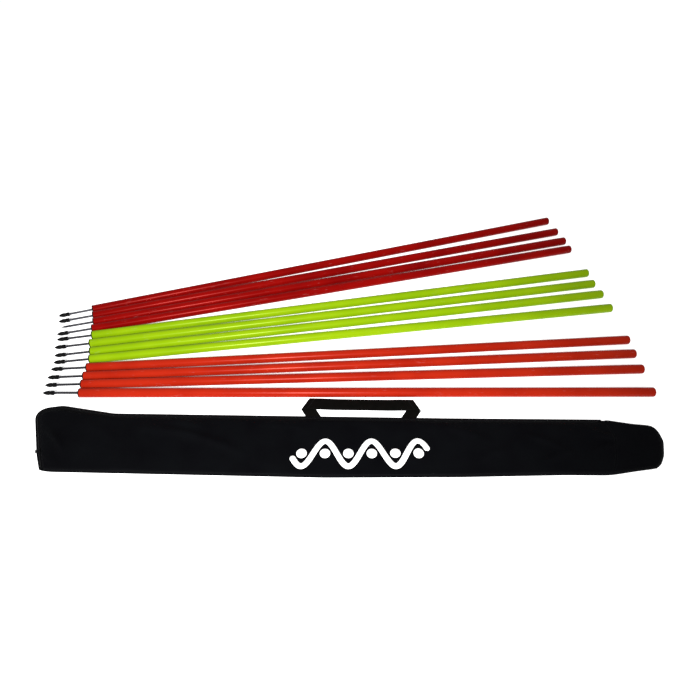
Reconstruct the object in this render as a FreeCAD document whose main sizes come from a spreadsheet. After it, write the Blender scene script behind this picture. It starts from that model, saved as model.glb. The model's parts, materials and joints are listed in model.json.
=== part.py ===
"""Twelve weave poles laid out beside their carry bag, in millimetres.

Each pole is a plastic tube with a push-in cap at the top and, at the foot, a moulded
plug round a steel ground spike.  A removable cover protects the spike's point; the
third pole has lost its cover.  The bag lies flat, zipped shut, with its webbing handle
folded down behind it.

The frame: +Z is up and the ground is Z = 0.  The origin is at the middle of the whole
set on the ground, X runs along the bag and Y from the bag towards the poles.
A pole's own frame has X along the pole, from 0 at the spike end of the tube.
"""

import FreeCAD
import Part

import math
import os

import Sketcher

POLE_COUNT = 12
BARE_SPIKE = 3              # the pole without a spike cover
GROUND_AXIS = -1            # Sketcher's number for the sketch origin and horizontal axis
START, END = 1, 2           # Sketcher's numbers for a segment's two ends
WORDS = ["zero", "one", "two", "three", "four", "five", "six", "seven", "eight", "nine",
         "ten", "eleven", "twelve"]

# Driving dimensions.  Every cell is a plain number, in millimetres or degrees.
SIZES = {
    # Tube and top cap.
    "tube_length": 1480, "tube_radius": 12.5, "tube_wall": 1.6,
    "cap_height": 5, "cap_rounding": 4, "cap_wall": 1.8, "cap_spigot": 20,
    "push_gap": 0.1,
    # Plug and ground spike.
    "plug_flange": 3, "plug_chamfer": 1.2, "plug_length": 45, "plug_lead_in": 3,
    "rod_radius": 3, "rod_reach": 93, "rod_point": 12, "rod_tip_radius": 0.3,
    "rod_held": 40, "knurl_radius": 3.2, "groove_from": 20, "groove_width": 4,
    "groove_depth": 0.8,
    # Spike cover: an ogive point, a neck and a collar at the mouth.
    "cover_reach": 98, "cover_length": 27.5, "cover_radius": 5.8, "cover_nose": 15,
    "cover_nose_radius": 24, "cover_tip_radius": 0.8, "cover_neck_radius": 5.1,
    "cover_neck_from": 18.5, "cover_collar_from": 21.5, "cover_gap": 0.08, "cover_point_gap": 0.4,
    # Bag: its place, its layers from the ground up and its edges.
    "bag_at_x": 28.7, "bag_at_y": -393.5, "back_layer": 3, "front_layer": 8, "end_layer": 10,
    "front_rounding": 6, "corner_rounding": 24,
    "zip_band": 12, "zip_inset": 1, "zip_tape_thick": 1.2, "zip_tape_width": 10,
    "zip_coil_width": 4, "zip_coil_thick": 1.3,
    # Zip slider and its pull, which hangs over the edge of the bag.
    "slider_length": 11, "slider_width": 7.2, "slider_gap": 0.4, "slider_roof": 1.2,
    "slider_from_end": 8, "bridge_length": 6.4, "bridge_width": 2, "bridge_height": 3.5,
    "bridge_hole_radius": 0.9, "pull_bar_radius": 0.55, "pull_bar_height": 2,
    "pull_window": 3.6, "pull_arm": 1, "pull_ring": 4.5, "pull_length": 8,
    "pull_width": 9, "pull_thick": 1, "pull_droop": 20,
    # Webbing handle, measured from the middle of the handle on the bag's back edge.
    "handle_at_x": 28, "webbing_thick": 1.8, "handle_root_gap": 1.5,
    "root_inner": 104, "root_outer": 136, "fold_out": 152, "fold_reach": 21.5,
    "grip_half": 137, "grip_reach": 54, "grip_inner": 119, "grip_inner_reach": 21.5,
    "tail_length": 45, "tail_clearance": 0.3, "root_margin": 5,
}

# Corners of the bag as it lies, round from the left end of its front edge.
BAG_CORNERS = [
    ("front_left", -730, -62.8), ("front_mid", -60, -78), ("front_far", 260, -76.6),
    ("front_dip", 500, -71.6), ("front_kink", 610, -72.2), ("end_front", 682, -60.6),
    ("end_tip_front", 724, -55.5), ("end_cut", 740, -44), ("end_side", 755, -20),
    ("end_tip", 767.5, 18), ("end_back", 761.5, 59.5), ("end_dip", 705, 63.8),
    ("back_kink", 634, 76.5), ("back_mid", 250, 80.2), ("back_left", -598, 94.5),
    ("top_left", -735, 117.8), ("left_top", -803.5, 107), ("left_bottom", -751.5, -21),
]

# How each pole lies: its angle from X, its spacing from the next pole at the spike end,
# and how far it has slipped back along itself.  Pole 12 is the nearest to the bag.
POLE_LIES = [
    (16, 25.8, 1.2), (14.7, 25.7, 2.2), (13.8, 25.7, -2.5), (13.2, 26.2, 1.8),
    (9.8, 29.6, -2), (9.1, 30.1, 5), (8.5, 26.2, 2), (7.3, 28.6, -1.8),
    (3.7, 28.1, -1.6), (2.9, 26.2, 1.3), (1.9, 27.3, 2), (0.1, 0, 0),
]
LAST_POLE_AT = (-668, -242.5)

doc = FreeCAD.newDocument("weave_poles")
sheet = doc.addObject("Spreadsheet::Sheet", "sizes")


def fill_sheet():
    """Write every driving dimension into the spreadsheet, one aliased cell each."""
    values = dict(SIZES)
    for name, x, y in BAG_CORNERS:
        values["bag_" + name + "_x"] = x
        values["bag_" + name + "_y"] = y
    for number, (angle, spacing, slip) in enumerate(POLE_LIES, start=1):
        values["pole_%s_angle" % WORDS[number]] = angle
        values["pole_%s_spacing" % WORDS[number]] = spacing
        values["pole_%s_slip" % WORDS[number]] = slip
    values["last_pole_x"], values["last_pole_y"] = LAST_POLE_AT
    for row, (alias, value) in enumerate(values.items(), start=1):
        sheet.set("A%d" % row, alias.replace("_", " "))
        sheet.set("B%d" % row, str(value))
        sheet.setAlias("B%d" % row, alias)
    doc.recompute()


def cell(alias):
    return float(sheet.get(alias))


def evaluate(expression):
    """The value of a sum of sheet cells, worked out by the document itself."""
    return float(sheet.evalExpression(expression.replace("sizes.", "")))


def cells(text):
    """Turn 'a + b * 2' with bare aliases into the same sum with the sheet's name."""
    words = []
    for word in text.split():
        words.append("sizes." + word if word[0].isalpha() else word)
    return " ".join(words)


def origin_plane(body, role):
    return [plane for plane in body.Origin.OriginFeatures if plane.Role == role][0]


def new_body(label):
    body = doc.addObject("PartDesign::Body", label)
    body.Label = label
    return body


def outline(body, corners, plane="XY_Plane", name="outline"):
    """A closed sketch through corners given as (x, y) or (x, y, radius of the next side)."""
    sketch = body.newObject("Sketcher::SketchObject", name)
    sketch.AttachmentSupport = [(origin_plane(body, plane), "")]
    sketch.MapMode = "FlatFace"
    places = [FreeCAD.Vector(evaluate(cells(c[0])), evaluate(cells(c[1])), 0) for c in corners]
    starts, ends = [], []
    for index, corner in enumerate(corners):
        here, there = places[index], places[(index + 1) % len(corners)]
        if len(corner) == 3:
            shape = arc_between(here, there, evaluate(cells(corner[2])))
        else:
            shape = Part.LineSegment(here, there)
        sketch.addGeometry(shape, False)
        first = (sketch.getPoint(index, START) - here).Length < 1e-6
        starts.append(START if first else END)
        ends.append(END if first else START)
    for index, corner in enumerate(corners):
        following = (index + 1) % len(corners)
        sketch.addConstraint(Sketcher.Constraint(
            "Coincident", index, ends[index], following, starts[following]))
        for kind, text, value in (("DistanceX", corner[0], places[index].x),
                                  ("DistanceY", corner[1], places[index].y)):
            rule = sketch.addConstraint(Sketcher.Constraint(
                kind, GROUND_AXIS, START, index, starts[index], value))
            sketch.setExpression("Constraints[%d]" % rule, cells(text))
        if len(corner) == 3:
            rule = sketch.addConstraint(Sketcher.Constraint(
                "Radius", index, evaluate(cells(corner[2]))))
            sketch.setExpression("Constraints[%d]" % rule, cells(corner[2]))
    return sketch


def arc_between(here, there, radius):
    """An arc that bows to the left of the way from here to there."""
    chord = there - here
    left = FreeCAD.Vector(-chord.y, chord.x, 0).normalize()
    rise = radius - math.sqrt(radius ** 2 - chord.Length ** 2 / 4)
    return Part.Arc(here, (here + there) / 2 + left * rise, there)


def turned(label, corners):
    """A body turned about its X axis from a half profile."""
    body = new_body(label)
    profile = outline(body, corners, name="profile")
    turn = body.newObject("PartDesign::Revolution", "turn")
    turn.Profile = profile
    turn.ReferenceAxis = (profile, ["H_Axis"])
    turn.Angle = 360
    return body


def plate(label, corners, thickness):
    """A flat body padded upwards from an outline in plan."""
    body = new_body(label)
    profile = outline(body, corners)
    pad = body.newObject("PartDesign::Pad", "thickness")
    pad.Profile = profile
    pad.setExpression("Length", cells(thickness))
    return body


def bind_place(thing, **places):
    """Bind an object's x, y or z place to a sum of cells."""
    for axis, text in places.items():
        thing.setExpression("Placement.Base." + axis, cells(text))


def round_edges(body, wanted, radius, name):
    """Fillet the edges of the body's tip that wanted(edge) accepts."""
    doc.recompute()
    base = body.Tip
    names = ["Edge%d" % number for number, edge in enumerate(base.Shape.Edges, start=1)
             if wanted(edge)]
    fillet = body.newObject("PartDesign::Fillet", name)
    fillet.Base = (base, names)
    fillet.setExpression("Radius", cells(radius))
    return fillet


def is_upright(edge):
    box = edge.BoundBox
    return box.XLength < 1e-6 and box.YLength < 1e-6


# ---------------------------------------------------------------- the poles

def make_tube(label):
    """The plastic tube: a ring drawn across the pole and padded along it."""
    body = new_body(label)
    ring = body.newObject("Sketcher::SketchObject", "ring")
    ring.AttachmentSupport = [(origin_plane(body, "YZ_Plane"), "")]
    ring.MapMode = "FlatFace"
    centre, up = FreeCAD.Vector(0, 0, 0), FreeCAD.Vector(0, 0, 1)
    for index, text in enumerate(("tube_radius", "tube_radius - tube_wall")):
        ring.addGeometry(Part.Circle(centre, up, evaluate(cells(text))), False)
        ring.addConstraint(Sketcher.Constraint("Coincident", index, 3, GROUND_AXIS, START))
        rule = ring.addConstraint(Sketcher.Constraint("Radius", index, evaluate(cells(text))))
        ring.setExpression("Constraints[%d]" % rule, cells(text))
    pad = body.newObject("PartDesign::Pad", "length")
    pad.Profile = ring
    pad.setExpression("Length", cells("tube_length"))
    return body


def make_cap(label):
    """The push-in top cap: a rounded head on a hollow spigot."""
    inner = "tube_radius - tube_wall - push_gap"
    hollow = inner + " - cap_wall"
    body = turned(label, [
        ("tube_length - cap_spigot", hollow),
        ("tube_length - cap_spigot", inner),
        ("tube_length", inner),
        ("tube_length", "tube_radius"),
        ("tube_length + cap_height", "tube_radius"),
        ("tube_length + cap_height", "0"),
        ("tube_length + cap_height - cap_wall", "0"),
        ("tube_length + cap_height - cap_wall", hollow),
    ])
    crown_x = cell("tube_length") + cell("cap_height")
    crown_width = 2 * cell("tube_radius")

    def is_crown(edge):
        box = edge.BoundBox
        return abs(box.XMin - crown_x) < 1e-3 and abs(box.YLength - crown_width) < 1e-3

    round_edges(body, is_crown, "cap_rounding", "rounding")
    return body


def make_plug(label):
    """The plug moulded round the spike: it keys into the rod's groove."""
    spigot = "tube_radius - tube_wall - push_gap"
    return turned(label, [
        ("0 - plug_flange", "knurl_radius"),
        ("0 - plug_flange", "tube_radius - plug_chamfer"),
        ("plug_chamfer - plug_flange", "tube_radius"),
        ("0", "tube_radius"),
        ("0", spigot),
        ("plug_length - plug_lead_in", spigot),
        ("plug_length", spigot + " - 1"),
        ("plug_length", "0"),
        ("rod_held", "0"),
        ("rod_held", "knurl_radius"),
        ("groove_from + groove_width", "knurl_radius"),
        ("groove_from + groove_width", "knurl_radius - groove_depth"),
        ("groove_from", "knurl_radius - groove_depth"),
        ("groove_from", "knurl_radius"),
    ])


def make_rod(label):
    """The steel rod, pointed at one end, knurled and grooved where the plug holds it."""
    return turned(label, [
        ("0 - rod_reach", "0"),
        ("0 - rod_reach", "rod_tip_radius"),
        ("rod_point - rod_reach", "rod_radius"),
        ("0 - plug_flange", "rod_radius"),
        ("0 - plug_flange", "knurl_radius"),
        ("groove_from", "knurl_radius"),
        ("groove_from", "knurl_radius - groove_depth"),
        ("groove_from + groove_width", "knurl_radius - groove_depth"),
        ("groove_from + groove_width", "knurl_radius"),
        ("rod_held", "knurl_radius"),
        ("rod_held", "0"),
    ])


def make_cover(label):
    """The slip-on cover: a closed dart with a blind hole for the rod's point."""
    hole = "rod_radius + cover_gap"
    return turned(label, [
        ("0 - cover_reach", "0"),
        ("0 - cover_reach", "cover_tip_radius", "cover_nose_radius"),
        ("cover_nose - cover_reach", "cover_radius"),
        ("cover_neck_from - cover_reach", "cover_neck_radius"),
        ("cover_collar_from - cover_reach", "cover_neck_radius"),
        ("cover_collar_from - cover_reach + 1", "cover_radius"),
        ("cover_length - cover_reach", "cover_radius"),
        ("cover_length - cover_reach", hole),
        ("rod_point - rod_reach", hole),
        ("0 - rod_reach - cover_point_gap", "rod_tip_radius + cover_gap"),
        ("0 - rod_reach - cover_point_gap", "0"),
    ])


def pole_placements():
    """Where each pole lies, worked out pole by pole from the one nearest the bag."""
    placements = {}
    x, y = cell("last_pole_x"), cell("last_pole_y")
    for number in range(POLE_COUNT, 0, -1):
        angle = cell("pole_%s_angle" % WORDS[number])
        spacing = cell("pole_%s_spacing" % WORDS[number])
        slip = cell("pole_%s_slip" % WORDS[number])
        along, across = math.cos(math.radians(angle)), math.sin(math.radians(angle))
        x += -spacing * across - slip * along
        y += spacing * along - slip * across
        placements[number] = FreeCAD.Placement(
            FreeCAD.Vector(x, y, cell("tube_radius")),
            FreeCAD.Rotation(FreeCAD.Vector(0, 0, 1), angle))
    return placements


def make_poles():
    """All twelve poles.  A tube and its pushed-in cap, alike in plastic, share a node."""
    nodes = []
    for number, placement in sorted(pole_placements().items()):
        name = "pole_%02d_" % number
        tube, cap = make_tube(name + "bare_tube"), make_cap(name + "top_cap")
        pieces = [make_plug(name + "foot_plug"), make_rod(name + "spike")]
        if number != BARE_SPIKE:
            pieces.append(make_cover(name + "spike_cover"))
        for piece in pieces + [tube, cap]:
            piece.Placement = placement
        capped_tube = doc.addObject("Part::Compound", name + "capped_tube")
        capped_tube.Label = name + "capped_tube"
        capped_tube.Links = [tube, cap]
        nodes += [capped_tube] + pieces
    return nodes


# ---------------------------------------------------------------- the bag

def bag_corner(name):
    return ("bag_%s_x" % name, "bag_%s_y" % name)


def inset_corner(name, before, after, distance):
    """A bag corner moved in from its two sides by a distance, as sums of cells."""
    here, back, onward = [FreeCAD.Vector(cell("bag_%s_x" % n), cell("bag_%s_y" % n), 0)
                          for n in (name, before, after)]
    inwards = []
    for side in (here - back, onward - here):
        side.normalize()
        inwards.append(FreeCAD.Vector(-side.y, side.x, 0))
    mitre = (inwards[0] + inwards[1]) / (1 + inwards[0].dot(inwards[1]))
    return ("bag_%s_x + %.4f * ( %s )" % (name, mitre.x, distance),
            "bag_%s_y + %.4f * ( %s )" % (name, mitre.y, distance))


def zip_line(distance):
    """The zip's corners from the lower left end to the back edge, inside the bag's edge."""
    chain = ["front_left", "left_bottom", "left_top", "top_left", "back_left", "back_mid",
             "back_kink"]
    return [inset_corner(chain[i], chain[i + 1], chain[i - 1], distance)
            for i in range(1, len(chain) - 1)]


def bag_plate(label, corners, thickness, height="0"):
    """A flat piece of the bag at a height above the ground."""
    body = plate(label, corners, thickness)
    bind_place(body, x="bag_at_x", y="bag_at_y", z=height)
    return body


def round_zip_corners(body, distance):
    """Round the two corners that the zip turns round, at that distance from the edge."""
    places = [(evaluate(cells(x)), evaluate(cells(y))) for x, y in zip_line(distance)[1:3]]
    round_upright(body, places, "corner_rounding - ( %s )" % distance)


def round_upright(body, places, radius):
    """Round the upright edges of a plate that stand at the given (x, y) places."""
    def is_chosen(edge):
        box = edge.BoundBox
        return is_upright(edge) and any(
            math.hypot(box.XMin - x, box.YMin - y) < 1e-2 for x, y in places)

    round_edges(body, is_chosen, radius, "round_corners")


def zip_strip(label, near, far, thickness, height):
    """A strip that follows the zip between two distances from the bag's edge."""
    rows = []
    for distance in (near, far):
        end = ("bag_back_kink_x - zip_band", "bag_back_kink_y - ( %s )" % distance)
        rows.append(zip_line(distance) + [end])
    strip = bag_plate(label, rows[0] + rows[1][::-1], thickness, height)
    round_zip_corners(strip, near)
    round_zip_corners(strip, far)
    return strip


def make_back_panel():
    """The back panel, which lies on the ground and over the handle's sewn tails."""
    main = [corner[0] for corner in BAG_CORNERS if not corner[0].startswith("end_")]
    cloth = bag_plate("back_panel_cloth", [bag_corner(n) for n in main], "back_layer")
    round_zip_corners(cloth, "0")
    recesses = doc.addObject("Part::MultiFuse", "tail_recesses")
    recesses.Shapes = [make_tail_recess(side) for side in ("left", "right")]
    return cut("bag_back_panel", cloth, recesses)


# Where the end panel's seam meets the zip band.
SEAM_BACK_X = ("bag_back_kink_x - zip_band * ( bag_back_kink_x - bag_front_kink_x )"
               " / ( bag_back_kink_y - bag_front_kink_y )")


def make_front_panel():
    """The front panel: it stops short of the zip and its edge is soft and round."""
    front = [bag_corner(corner[0]) for corner in BAG_CORNERS if corner[0].startswith("front")]
    front.append((SEAM_BACK_X, "bag_back_kink_y - zip_band"))
    front += zip_line("zip_band")[::-1]
    panel = bag_plate("bag_front_panel", front, "front_layer", "back_layer")
    round_zip_corners(panel, "zip_band")
    top, kink = cell("front_layer"), cell("bag_front_kink_x")

    def is_soft_top(edge):
        return edge.BoundBox.ZMin > top - 1e-3 and edge.BoundBox.XMin < kink - 1

    round_edges(panel, is_soft_top, "front_rounding", "soft_edge")
    return panel


def make_end_panel():
    """The tapered right-hand end, where the bag's base is folded flat."""
    tips = ["end_tip_front", "end_cut", "end_side", "end_tip", "end_back"]
    names = ["front_kink", "end_front"] + tips + ["end_dip", "back_kink"]
    panel = bag_plate("bag_end_panel", [bag_corner(n) for n in names], "end_layer")
    round_upright(panel, [(cell("bag_%s_x" % n), cell("bag_%s_y" % n)) for n in tips],
                  "corner_rounding")
    return panel


def handle_frame():
    """Where the handle meets the bag's back edge, and the angle of that edge."""
    near = FreeCAD.Vector(cell("bag_back_left_x"), cell("bag_back_left_y"), 0)
    far = FreeCAD.Vector(cell("bag_back_mid_x"), cell("bag_back_mid_y"), 0)
    slope = (far.y - near.y) / (far.x - near.x)
    x = cell("handle_at_x")
    y = near.y + slope * (x - near.x)
    return FreeCAD.Placement(
        FreeCAD.Vector(x + cell("bag_at_x"), y + cell("bag_at_y"), 0),
        FreeCAD.Rotation(FreeCAD.Vector(0, 0, 1), math.degrees(math.atan(slope))))


def make_handle():
    """One webbing strap folded flat at its two corners, and its two sewn tails."""
    right = [("root_inner", "handle_root_gap"), ("root_outer", "handle_root_gap"),
             ("fold_out", "fold_reach"), ("grip_half", "grip_reach")]
    left = [("0 - " + x, y) for x, y in right[::-1]]
    inner = [("0 - grip_inner", "grip_inner_reach"), ("grip_inner", "grip_inner_reach")]
    pieces = [plate("handle_webbing", right + left + inner, "webbing_thick")]
    for side, sign in (("left", "0 - "), ("right", "")):
        pieces.append(plate("handle_tail_" + side, [
            (sign + "root_inner", "0"), (sign + "root_outer", "0"),
            (sign + "root_outer", "0 - tail_length"),
            (sign + "root_inner", "0 - tail_length")], "webbing_thick"))
    for piece in pieces:
        piece.Placement = handle_frame()
    return pieces


def make_tail_recess(side):
    """The dent that a sewn tail makes in the underside of the back panel."""
    recess = primitive("Part::Box", "tail_recess_" + side,
                       Length="root_outer - root_inner + 2 * tail_clearance",
                       Width="tail_length + 2 * tail_clearance + root_margin",
                       Height="webbing_thick")
    edge = cell("root_inner") if side == "right" else -cell("root_outer")
    corner = FreeCAD.Vector(edge - cell("tail_clearance"),
                            -cell("tail_length") - cell("tail_clearance"), 0)
    recess.Placement = handle_frame() * FreeCAD.Placement(corner, FreeCAD.Rotation())
    return recess


# ---------------------------------------------------------------- the zip

def zip_frame():
    """The slider's place on the zip's middle line, with X up the left end of the bag."""
    low, high = [FreeCAD.Vector(evaluate(cells(x)), evaluate(cells(y)), 0)
                 for x, y in zip_line("zip_inset + zip_tape_width / 2")[:2]]
    way = (high - low).normalize()
    bag = FreeCAD.Vector(cell("bag_at_x"), cell("bag_at_y"),
                         cell("back_layer") + cell("zip_tape_thick"))
    turn = math.degrees(math.atan2(way.y, way.x))
    return FreeCAD.Placement(low + way * cell("slider_from_end") + bag,
                             FreeCAD.Rotation(FreeCAD.Vector(0, 0, 1), turn))


def make_tape_and_coil():
    """The zip's woven tape and, along its middle, the closed coil of teeth."""
    middle = "zip_inset + zip_tape_width / 2"
    tape = zip_strip("zip_tape", "zip_inset", "zip_inset + zip_tape_width",
                     "zip_tape_thick", "back_layer")
    coil = zip_strip("zip_coil", middle + " - zip_coil_width / 2",
                     middle + " + zip_coil_width / 2",
                     "zip_coil_thick", "back_layer + zip_tape_thick")
    return [tape, coil]


def make_slider():
    """The zip slider: a channel over the coil, with a pierced bridge on its roof."""
    block = middle_box("slider_block", "slider_length", "slider_width",
                       "zip_coil_thick + slider_roof", "slider_gap")
    channel = middle_box("slider_channel", "slider_length + 2",
                         "zip_coil_width + 2 * slider_gap", "zip_coil_thick", "slider_gap")
    bridge = middle_box("slider_bridge", "bridge_width", "bridge_length", "bridge_height",
                        "slider_gap + zip_coil_thick + slider_roof")
    hole = cross_bar("bridge_hole", "bridge_hole_radius", "bridge_width + 2")
    solid = doc.addObject("Part::MultiFuse", "slider_solid")
    solid.Shapes = [block, bridge]
    gaps = doc.addObject("Part::MultiFuse", "slider_gaps")
    gaps.Shapes = [channel, hole]
    slider = cut("zip_slider", solid, gaps)
    slider.Placement = zip_frame()
    return slider


def make_pull():
    """The slider's pull: a tab with a window whose bar passes through the bridge."""
    right = [("pull_window / 2", "0 - pull_bar_radius"),
             ("pull_window / 2 + pull_arm", "0 - pull_bar_radius"),
             ("pull_window / 2 + pull_arm", "pull_ring"),
             ("pull_width / 2", "pull_ring + 1"), ("pull_width / 2", "pull_length")]
    left = [("0 - ( %s )" % x, y) for x, y in right[::-1]]
    inner = [("0 - pull_window / 2", "pull_ring"), ("pull_window / 2", "pull_ring")]
    tab = plate("pull_tab", right + left + inner, "pull_thick")
    bind_place(tab, z=BAR_HEIGHT + " - pull_thick / 2")
    bar = cross_bar("pull_bar", "pull_bar_radius", "pull_window + pull_arm")
    pull = doc.addObject("Part::MultiFuse", "zip_pull")
    pull.Label = "zip_pull"
    pull.Shapes = [tab, bar]
    lift = FreeCAD.Vector(0, 0, evaluate(cells(BAR_HEIGHT)))
    droop = FreeCAD.Rotation(FreeCAD.Vector(1, 0, 0), -cell("pull_droop"))
    pull.Placement = (zip_frame() * FreeCAD.Placement(lift, droop)
                      * FreeCAD.Placement(-lift, FreeCAD.Rotation()))
    return pull


BAR_HEIGHT = "slider_gap + zip_coil_thick + slider_roof + pull_bar_height"


def primitive(kind, name, **sizes):
    """A Part primitive whose sizes are sums of cells."""
    solid = doc.addObject(kind, name)
    for field, text in sizes.items():
        solid.setExpression(field, cells(text))
    return solid


def middle_box(name, length, width, height, base):
    """A box centred on the local Z axis, standing at a height."""
    box = primitive("Part::Box", name, Length=length, Width=width, Height=height)
    bind_place(box, x="0 - ( %s ) / 2" % length, y="0 - ( %s ) / 2" % width, z=base)
    return box


def cross_bar(name, radius, length):
    """A cylinder along X, centred, at the height of the pull's bar."""
    bar = primitive("Part::Cylinder", name, Radius=radius, Height=length)
    half = evaluate(cells(length)) / 2
    bar.Placement = FreeCAD.Placement(
        FreeCAD.Vector(-half, 0, evaluate(cells(BAR_HEIGHT))),
        FreeCAD.Rotation(FreeCAD.Vector(0, 1, 0), 90))
    return bar


def cut(label, base, tool):
    """Take one object away from another."""
    result = doc.addObject("Part::Cut", label)
    result.Label = label
    result.Base = base
    result.Tool = tool
    return result


# ---------------------------------------------------------------- checks and files

def check_document():
    """Stop if any object failed or any piece has no valid shape."""
    doc.recompute()
    for thing in doc.Objects:
        if "Invalid" in thing.State or "Error" in thing.State:
            raise RuntimeError("%s did not recompute: %s" % (thing.Label, thing.State))
    for node in nodes:
        if node.Shape.isNull() or not node.Shape.isValid():
            raise RuntimeError("%s has no valid shape" % node.Label)


def write_files():
    """One STEP file for each piece, named after it."""
    os.makedirs("parts", exist_ok=True)
    for node in nodes:
        node.Shape.exportStep("parts/%s.step" % node.Label)


fill_sheet()
nodes = make_poles()
nodes += [make_back_panel(), make_front_panel(), make_end_panel()]
nodes += make_handle()
nodes += make_tape_and_coil()
nodes += [make_slider(), make_pull()]
check_document()
write_files()

whole = FreeCAD.BoundBox()
for node in nodes:
    whole.add(node.Shape.BoundBox)
print("%d pieces, X %.2f to %.2f, Y %.2f to %.2f, Z %.2f to %.2f" % (
    len(nodes), whole.XMin, whole.XMax, whole.YMin, whole.YMax, whole.ZMin, whole.ZMax))
grip = handle_frame()
print("handle root", grip.Base, "angle %.3f" % math.degrees(grip.Rotation.Angle))
print("slider", zip_frame().Base, "angle %.3f" % math.degrees(zip_frame().Rotation.Angle))
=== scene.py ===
"""Twelve weave poles laid out in a fan beside their zipped carry bag.

The poles are turned solids in satin plastic, nylon, steel and rubber.  The bag is cloth
settled by simulation over the flat space it fills, with a zip, a folded webbing handle,
stitching and a generic printed mark.  Lengths are in metres; MM turns millimetres into them.
"""

import json
import math

import bmesh
import bpy
import numpy as np
from mathutils import Matrix, Vector, noise
from mathutils.bvhtree import BVHTree


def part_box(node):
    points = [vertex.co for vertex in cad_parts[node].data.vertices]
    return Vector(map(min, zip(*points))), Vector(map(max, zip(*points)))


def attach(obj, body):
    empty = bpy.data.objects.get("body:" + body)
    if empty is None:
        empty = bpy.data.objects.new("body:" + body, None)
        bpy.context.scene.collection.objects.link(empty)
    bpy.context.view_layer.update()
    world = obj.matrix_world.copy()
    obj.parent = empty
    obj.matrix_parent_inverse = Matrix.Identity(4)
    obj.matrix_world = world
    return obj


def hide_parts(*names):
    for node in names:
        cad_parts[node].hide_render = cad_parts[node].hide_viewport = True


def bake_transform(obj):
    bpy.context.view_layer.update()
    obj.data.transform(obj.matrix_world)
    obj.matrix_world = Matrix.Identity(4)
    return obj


MM = 0.001
POLE_COUNT = 12
BARE_SPIKE = 3              # the pole without a spike cover

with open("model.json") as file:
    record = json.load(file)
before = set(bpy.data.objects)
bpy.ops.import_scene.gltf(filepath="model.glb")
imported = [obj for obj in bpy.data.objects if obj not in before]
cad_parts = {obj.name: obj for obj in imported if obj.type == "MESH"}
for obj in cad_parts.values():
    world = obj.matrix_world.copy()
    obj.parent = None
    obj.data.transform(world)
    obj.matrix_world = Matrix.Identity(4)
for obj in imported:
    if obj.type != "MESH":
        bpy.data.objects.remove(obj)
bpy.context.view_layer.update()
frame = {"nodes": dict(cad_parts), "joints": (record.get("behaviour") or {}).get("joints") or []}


# -------------------- the poles' sizes, in mm

TUBE_LENGTH, TUBE_RADIUS, TUBE_WALL = 1480, 12.5, 1.6
CAP_HEIGHT, CAP_ROUNDING, CAP_WALL, CAP_SPIGOT = 5, 4, 1.8, 20
PUSH_GAP = 0.1
PLUG_FLANGE, PLUG_CHAMFER, PLUG_LENGTH = 3, 0.7, 45
ROD_RADIUS, ROD_REACH, ROD_POINT, ROD_HELD, KNURL_RADIUS = 3, 93, 12, 40, 3.2
COVER_REACH, COVER_LENGTH, COVER_RADIUS, COVER_NECK = 98, 27.5, 5.8, 5.1
COVER_NOSE, COVER_NOSE_RADIUS, COVER_TIP_RADIUS = 15, 24, 0.8
COVER_NECK_FROM, COVER_COLLAR_FROM, COVER_GAP = 18.5, 21.5, 0.08


# -------------------- materials

class Shader:
    """A material's node tree, with short calls to add and link nodes."""

    def __init__(self, name):
        self.material = bpy.data.materials.new(name)
        self.material.use_nodes = True
        self.nodes = self.material.node_tree.nodes
        self.links = self.material.node_tree.links
        self.surface = self.nodes["Principled BSDF"]

    def add(self, kind, values=None, **settings):
        """A node with its settings; values gives an input a number or another node's output."""
        node = self.nodes.new("ShaderNode" + kind)
        for field, value in settings.items():
            setattr(node, field, value)
        self.feed(node, values or {})
        return node

    def feed(self, node, values):
        for name, value in values.items():
            if isinstance(value, bpy.types.NodeSocket):
                self.links.new(value, node.inputs[name])
            else:
                node.inputs[name].default_value = value

    def set(self, **values):
        """Inputs of the surface shader, with underscores for the spaces in their names."""
        self.feed(self.surface, {name.replace("_", " "): v for name, v in values.items()})

    def math(self, operation, first, second=0.0):
        return self.add("Math", {0: first, 1: second}, operation=operation).outputs[0]

    def ridge(self, value):
        """Round ridges, one for each whole step of a value."""
        return self.math("ABSOLUTE", self.math("SINE", self.math("MULTIPLY", value, math.pi)))

    def place(self, attribute, scale=(1, 1, 1)):
        """A piece's own coordinates, in metres, kept on its mesh."""
        source = self.add("Attribute", attribute_name=attribute).outputs["Vector"]
        return self.add("Mapping", {"Vector": source, "Scale": scale}).outputs["Vector"]

    def noise(self, vector, scale, detail=3.0, roughness=0.5):
        return self.add("TexNoise", {"Vector": vector, "Scale": scale, "Detail": detail,
                                     "Roughness": roughness}).outputs["Fac"]

    def span(self, value, low, high, to_low=0.0, to_high=1.0):
        """Stretch a value's low-to-high span to another, clamped."""
        return self.add("MapRange", {"Value": value, "From Min": low, "From Max": high,
                                     "To Min": to_low, "To Max": to_high}).outputs[0]

    def mix(self, share, first, second):
        """Blend two colours, each a tuple or another node's output."""
        return self.add("Mix", {0: share, 6: first, 7: second}, data_type="RGBA").outputs[2]

    def bump(self, height, distance, under=None):
        values = {"Height": height, "Distance": distance, "Strength": 1.0}
        if under is not None:
            values["Normal"] = under
        return self.add("Bump", values).outputs["Normal"]


def linear(red, green, blue):
    """A screen colour in 0-255 as the linear colour that a shader takes."""
    shares = [value / 255 for value in (red, green, blue)]
    return tuple(v / 12.92 if v <= 0.04045 else ((v + 0.055) / 1.055) ** 2.4
                 for v in shares) + (1.0,)


def shade(colour, factor):
    return tuple(c * factor for c in colour[:3]) + (1.0,)


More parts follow.
